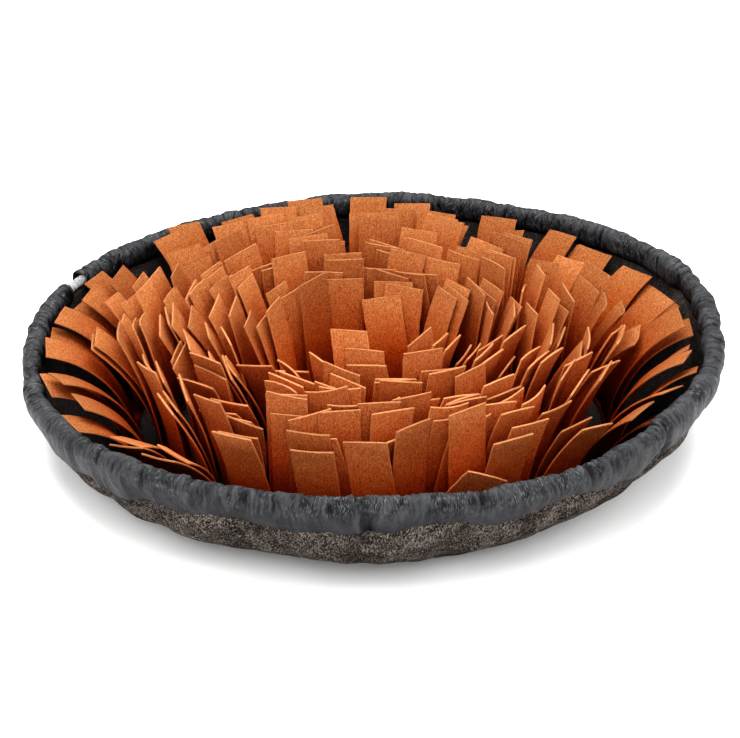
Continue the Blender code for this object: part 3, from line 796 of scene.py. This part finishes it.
def folds(azimuth, up):
    """Soft folds in the wall's upper half, where the disc is drawn in, lumps lower down, and the pinches."""
    window = math.sin(math.pi * clamp((up - FOLDS_FROM) / FOLDS_OVER)) ** 0.8
    lumps = LUMPS * ruffle("lumps", azimuth, up) * min(1, LUMPS_ON_FLOOR + up * 12) * max(0.0, 1 - up)
    pinch = sum(row["deep_mm"] * math.exp(-((azimuth - row["azimuth"]) / row["half_deg"]) ** 2)
                for row in PINCHES) * MM
    return window * (FOLDS * ruffle("folds", azimuth, up) - pinch) + lumps


def wall_profile(azimuth):
    """The wall's outer face from the floor's edge to the rim: the radius and height of each row."""
    from_gap = abs(azimuth - (CORD_GAP_START + CORD_GAP_END) / 2) - (CORD_GAP_END - CORD_GAP_START) / 2
    under_cord = UNDER_CORD * clamp((UNDER_CORD_REACH - from_gap) / UNDER_CORD_OVER)
    line = []
    for row in range(WALL_STEPS + 1):
        s = row / WALL_STEPS
        out, up = wall_curve(s)
        radius, height = wall_point(azimuth, out, up)
        at_rim = max(0.0, s - RIM_FROM) / (1 - RIM_FROM)
        line.append((radius + folds(azimuth, up) * (1 - RIM_CALM * at_rim), height + under_cord * at_rim))
    return line


def radius_at(profile, height):
    """Radius of the wall's outer face at a height."""
    for (r0, z0), (r1, z1) in zip(profile, profile[1:]):
        if height <= z1:
            return r0 + (r1 - r0) * (height - z0) / (z1 - z0)
    return profile[-1][0]


def make_base(material):
    """The puckered felt bowl, one closed sheet of thick felt."""
    azimuths = [360 * i / BASE_STEPS for i in range(BASE_STEPS)]
    outer = [[polar(FLOOR_RADIUS * part + folds(azimuth, 0) * part ** 6, azimuth, 0) for azimuth in azimuths]
             for part in FLOOR_ROWS]
    profiles = [wall_profile(azimuth) for azimuth in azimuths]
    for row in range(WALL_STEPS + 1):
        outer.append([polar(line[row][0], turn, line[row][1]) for turn, line in zip(azimuths, profiles)])
    inner = []
    for r, row in enumerate(outer):
        below = outer[max(r - 1, 0)]
        above = outer[min(r + 1, len(outer) - 1)]
        line = []
        for i in range(BASE_STEPS):
            round_way = row[(i + 1) % BASE_STEPS] - row[i - 1]
            normal = round_way.cross(above[i] - below[i]).normalized()
            line.append(row[i] - normal * FELT)
        inner.append(line)
    rows = outer + inner[::-1]
    points = [Vector((0, 0, 0))] + [p for row in rows for p in row] + [Vector((0, 0, FELT))]
    faces = row_faces(1, len(rows), BASE_STEPS)
    last = 1 + (len(rows) - 1) * BASE_STEPS
    for i in range(BASE_STEPS):
        k = (i + 1) % BASE_STEPS
        faces += [(0, 1 + k, 1 + i), (last + i, last + k, len(points) - 1)]
    # inside marks the inner face, where the felt's material paints light
    inside = [0.0] * (1 + len(outer) * BASE_STEPS) + [1.0] * (len(inner) * BASE_STEPS + 1)
    base = mesh_piece("felt_bowl", points, faces, material, {"inside": inside})
    dress(base, "felt_base")
    return base


def casing_path(radius, height, lap, profile):
    """The casing's cloth in one section, from its inner hem over the rounded top to its outer hem.

    Each row is the distance out from the rim's middle line, the height over it and the gathers' strength.
    """
    half = CASING_HALF
    path = [(-half * row["out"], -INNER_LAP * row["down"], row["gathered"]) for row in INNER_ROWS]
    for i in range(CREST_ROWS + 1):
        turn = math.pi * (1 - i / CREST_ROWS)
        path.append((half * math.cos(turn), half * math.sin(turn), 1.0))
    foot = radius_at(profile, height - lap) + LAP_EDGE - radius
    for i in range(1, LAP_ROWS + 1):
        t = i / LAP_ROWS
        belly = math.sin(math.pi * min(1.0, t * 1.05)) * LAP_BELLY
        out = half + (foot + LAP_OFF - half) * t ** 1.4 + belly
        if t > 0.5:
            out = max(out, radius_at(profile, height - lap * t) + LAP_EDGE + NYLON - radius)
        path.append((out, -lap * t, (1 - t) ** 1.8))
    for out, up in HEM_TURN:
        path.append((foot + out, up - lap, 0.0))
    return path


def wave(name, turn, down=0.0, column="size"):
    """One of the casing's noises at a place in millimetres round the rim and down the cloth."""
    row = WAVES[name]
    value = noise_at(turn / row["round_mm"], down / row["down_mm"], row["layer"])
    if row["sharp"]:
        value = 1 - row["sharp"] * abs(value)
    return row[column] * value


def gather(turn, down, strength, lumps, creases):
    """How far the casing's cloth is lifted, and its painted highlight on ridges (up to 1) and painted shade
    in creases (down to -1).

    The place is given in millimetres round the rim and down the cloth, the lift in metres, and lumps
    says how strong the broad folds are.
    """
    slanted = turn + wave("sway", turn, down) + wave("jitter", turn, down)

    def total(column, *names):
        return sum(wave(name, slanted, down, column) for name in names)

    patch = max(PATCH_LEAST, PATCH_MEAN + wave("patch", turn))
    fine = (strength + 0.5 * (1 - strength) * max(0.0, wave("spread", turn) - 0.2)) * patch
    lift = lumps * total("size", "broad", "fold") * (LOOSE_FOLDS + (1 - LOOSE_FOLDS) * strength)
    lift += fine * total("size", "pleat", "crinkle")
    # painted highlight on the ridges of the gathers and folds, painted shade in their hollows
    edge = fine * (total("ridge", "pleat", "crinkle") - RIDGE_FROM) + lumps * total("ridge", "fold", "broad")
    for middle_turn, crease in creases:
        on_lap = down - CREST_DOWN
        off = slanted - middle_turn - crease["slant_mm"] * on_lap / CREASE_SLANT_OVER
        off /= crease["half_mm"]
        fade = clamp((on_lap - crease["from_mm"]) / CREASE_FADES[0])
        fade *= clamp((crease["to_mm"] - on_lap) / CREASE_FADES[1])
        side = math.exp(-((off + CREASE_SIDE) / CREASE_SIDE_HALF) ** 2)
        valley = math.exp(-off * off)
        lift += fade * crease["deep_mm"] * (0.6 * side - valley)
        # painted highlight on the ridge beside a crease and painted shade in the crease
        edge += fade * (0.7 * side - 0.75 * valley)
    return lift * MM, max(-1.0, min(1.0, edge))


def casing_line(azimuth, ripple, creases, attributes):
    """One section of the casing's outer face; turn, down, gathered and ridge go to the attributes' lists."""
    radius, height, lap = rim(azimuth)
    angle = math.radians(azimuth)
    turn = angle * radius / MM
    lap += (wave("hem", turn) + wave("hem_short", turn)) * MM
    from_end = math.radians(min(azimuth - CORD_GAP_END, CORD_GAP_START + 360 - azimuth)) * radius / MM
    calm = min(1.0, CALMEST + max(0.0, from_end - CORD_SEAT / MM) / CALM_OVER)
    near = [(middle, row) for middle, row in creases if abs(middle - turn) < CREASE_REACH]
    lumps = 1 + SIDE_FOLDS * math.cos(angle) ** 2 - BACK_FOLDS * max(0.0, math.sin(angle))
    path = casing_path(radius, height, lap, wall_profile(azimuth))
    height += wave("rise", turn) * MM
    line = []
    down = 0.0
    for i, (out, up, strength) in enumerate(path):
        before, after = path[max(i - 1, 0)], path[min(i + 1, len(path) - 1)]
        way = Vector((after[0] - before[0], after[1] - before[1])).normalized()
        if i:
            down += math.hypot(out - before[0], up - before[1]) / MM
        lift, edge = gather(turn, down, strength, lumps, near)
        lift += ripple * strength
        if lift < 0:
            lift *= calm
        # painted shade: the hem's last rows get the crease value, painted dark as the shade under the hem
        if i >= len(path) - HEM_ROWS:
            lift, edge = min(lift, HEM_LIFT), -1.0
        line.append(polar(radius + out - way.y * lift, azimuth, height + up + way.x * lift))
        for values, value in zip(attributes.values(), (turn * MM, down * MM, strength, edge)):
            values.append(value)
    return line


def make_casing(material):
    """The nylon casing: one thin cloth gathered over the felt's edge, open at the cord's gap."""
    creases = [(math.radians(row["azimuth"]) * rim(row["azimuth"])[0] / MM, row) for row in CREASES]
    attributes = {"turn": [], "down": [], "gathered": [], "ridge": []}
    rows = []
    for step in range(CASING_STEPS + 1):
        way = step / CASING_STEPS
        azimuth = CORD_GAP_END + (360 - CORD_GAP_END + CORD_GAP_START) * way
        ripple = GATHER * math.sin(2 * math.pi * GATHERS * way)
        rows.append(casing_line(azimuth, ripple, creases, attributes))
    count = len(rows[0])
    kept = [round(k * (count - 1) / (LINING_ROWS - 1)) for k in range(LINING_ROWS)]
    points = [p for row in rows for p in row]
    lining = len(points)
    for s, row in enumerate(rows):
        before, after = rows[max(s - 1, 0)], rows[min(s + 1, len(rows) - 1)]
        for i in kept:
            along = row[min(i + 1, count - 1)] - row[max(i - 1, 0)]
            points.append(row[i] + (after[i] - before[i]).cross(along).normalized() * NYLON)
            for values in attributes.values():
                values.append(values[s * count + i])
    faces = row_faces(0, len(rows), count, closed=False)
    faces += row_faces(lining, len(rows), LINING_ROWS, closed=False, flip=True)
    for s in range(len(rows) - 1):
        outside, inside = s * count, lining + s * LINING_ROWS
        faces.append((outside, outside + count, inside + LINING_ROWS, inside))
        outside, inside = outside + count - 1, inside + LINING_ROWS - 1
        faces.append((outside, inside, inside + LINING_ROWS, outside + count))
    for s in (0, len(rows) - 1):
        ring = [s * count + i for i in range(count)]
        ring += [lining + s * LINING_ROWS + k for k in reversed(range(LINING_ROWS))]
        faces.append(tuple(ring) if s else tuple(reversed(ring)))
    casing = mesh_piece("nylon_casing", points, faces, material, attributes)
    dress(casing, "rim_casing")
    return casing


def make_cord(material):
    """The braided drawcord in the gap, running into both ends of the casing."""
    seat = math.degrees(CORD_SEAT / rim(CORD_GAP_START)[0])
    points = []
    for i in range(CORD_STEPS + 1):
        t = i / CORD_STEPS
        azimuth = CORD_GAP_START - seat + (CORD_GAP_END - CORD_GAP_START + 2 * seat) * t
        radius, height, _ = rim(azimuth)
        middle = polar(radius, azimuth, height - CORD_DROP)
        out = polar(1, azimuth, 0)
        ends = CORD_END if i in (0, CORD_STEPS) else 1.0
        for k in range(CORD_ROUND):
            turn = 2 * math.pi * k / CORD_ROUND
            strand = max(math.cos(STRANDS * turn + BRAID_TURN * t), math.cos(STRANDS * turn - BRAID_TURN * t))
            reach = (CORD_DIAMETER / 2 - BRAID + BRAID * strand) * ends
            points.append(middle + out * reach * math.cos(turn) + Vector((0, 0, reach * math.sin(turn))))
    faces = tube_faces(0, CORD_STEPS + 1, CORD_ROUND, flip=True)
    cord = mesh_piece("braided_cord", points, faces, material)
    dress(cord, "drawcord")
    return cord


def painted_light_at(ring, angle):
    """Painted light and shade on the felt: lighter in front, darker at the right back and at the outermost
    sides.
    """
    tone = RING_PAINTED_LIGHT[ring - 1] + FRONT_PAINTED_LIGHT * max(0.0, -math.sin(angle))
    tone -= RIGHT_BACK_PAINTED_SHADE * max(0.0, math.cos(angle - math.radians(RIGHT_BACK))) ** 2
    if ring == len(RINGS):
        tone -= SIDES_PAINTED_SHADE * math.cos(angle) ** 2
    return tone


def add_point(strip, point, cut, tone, way):
    """One more point of a strip: how much it is cut edge, its tone with the painted light and shade, and how
    far up its leaf.
    """
    for key, value in (("points", point), ("cut", cut), ("tone", tone), ("way", way)):
        strip[key].append(value)


def add_backing(strip, ring, arc):
    """The flat backing that an arc's leaves stand on, with bevelled edges."""
    start, sweep = arc_span(ring, arc)
    steps = math.ceil(sweep / BACKING_STEP)
    low, top = FELT + GAP, FELT + GAP + BACKING
    half_outline = [(BACKING_HALF - FOOT_BEVEL[0], low), (BACKING_HALF, low + FOOT_BEVEL[1]),
                    (BACKING_HALF, top - TOP_BEVEL[1]), (BACKING_HALF - TOP_BEVEL[0], top)]
    outline = half_outline + [(-out, height) for out, height in reversed(half_outline)]
    for i in range(steps + 1):
        for out, height in outline:
            point = polar(ring["radius_mm"] * MM + out, start + sweep * i / steps, height,
                          (ring["x_mm"] * MM, ring["y_mm"] * MM))
            add_point(strip, point, 0.0, BACKING_TONE, 0.0)
    strip["faces"] += tube_faces(0, steps + 1, len(outline))


def add_leaf(strip, leaf, draw):
    """One curved felt leaf: the CAD leaf's middle line, with a slight twist, cupping and an uneven cut."""
    twist = math.radians(draw.gauss(0, TWIST))
    bend = noise_at(leaf["ring"] * 7.3, leaf["place"] * 3.7, 0.5)
    cup = CUP * bend * abs(bend) + draw.gauss(0, CUP_SPREAD) * MM
    seed = draw.uniform(0, 100)
    slant = draw.gauss(0, SLANT)
    # painted light and shade by ring and azimuth, times the leaf's own random difference of tone
    tone = painted_light_at(leaf["ring"], math.radians(leaf["azimuth"])) * (1 + draw.gauss(0, TONE_SPREAD))
    points = strip["points"]
    first = len(points)
    count = len(CROSS)
    steps = LEAF_STEPS * FINE
    for i, place, along, width, facing in leaf_line(leaf, steps, leaf["length"], twist):
        t = i / steps
        tip = i == steps
        if i % FINE == 0 or i == steps - 1:
            bow = BOW * t * noise_at(seed, 2.6 * t)
            half = leaf["width"] / 2 * (1 + WAVER * noise_at(seed, 0, 9 * t))
            for row in CROSS:
                across = row["across"]
                ragged = RAGGED * noise_at(seed, across * 6, t * 30)
                lift = LEAF / 2 * row["through"] + bow
                lift += cup * (1 - across * across) * (CUP_AT_ROOT + (1 - CUP_AT_ROOT) * t)
                out = half * across + (ragged if row["cut"] else 0)
                point = place + width * out + facing * lift
                if t > TIP_FROM:
                    off_square = slant * half * across * (t - TIP_FROM) / (1 - TIP_FROM)
                    point = point + along * (off_square + (ragged if tip else 0))
                add_point(strip, point, max(row["cut"], TIP_CUT if tip else 0.0), tone, t)
    for point in points[-count:]:
        add_point(strip, point + along * TIP_OUT, 1.0, tone, 1.0)
    strip["faces"] += tube_faces(first, (len(points) - first) // count, count)


def make_strips(leaves, material):
    """The fringe: a strip for each arc, its backing and the leaves on it, one piece for each CAD node."""
    draw = random.Random(SKIN_SEED)
    made = []
    for number, ring in enumerate(RINGS, 1):
        for arc in range(ring["arcs"]):
            strip = {"points": [], "faces": [], "cut": [], "tone": [], "way": []}
            add_backing(strip, ring, arc)
            for leaf in leaves:
                if (leaf["ring"], leaf["arc"]) == (number, arc):
                    add_leaf(strip, leaf, draw)
            name = f"ring_{number}_arc_{arc + 1:02d}"
            piece = mesh_piece("fringe_" + name, strip.pop("points"), strip.pop("faces"), material, strip)
            dress(piece, "strip_" + name)
            made.append(piece)
    return made


def main():
    set_camera()
    set_lights()
    set_contrast()
    make_floor()
    leaves = plan_leaves([tree_of_node("felt_base"), tree_of_node("rim_casing")])
    base = make_base(melange_felt())
    casing = make_casing(slate_nylon())
    cord = make_cord(cord_cotton())
    arcs = make_strips(leaves, rust_felt())


main()
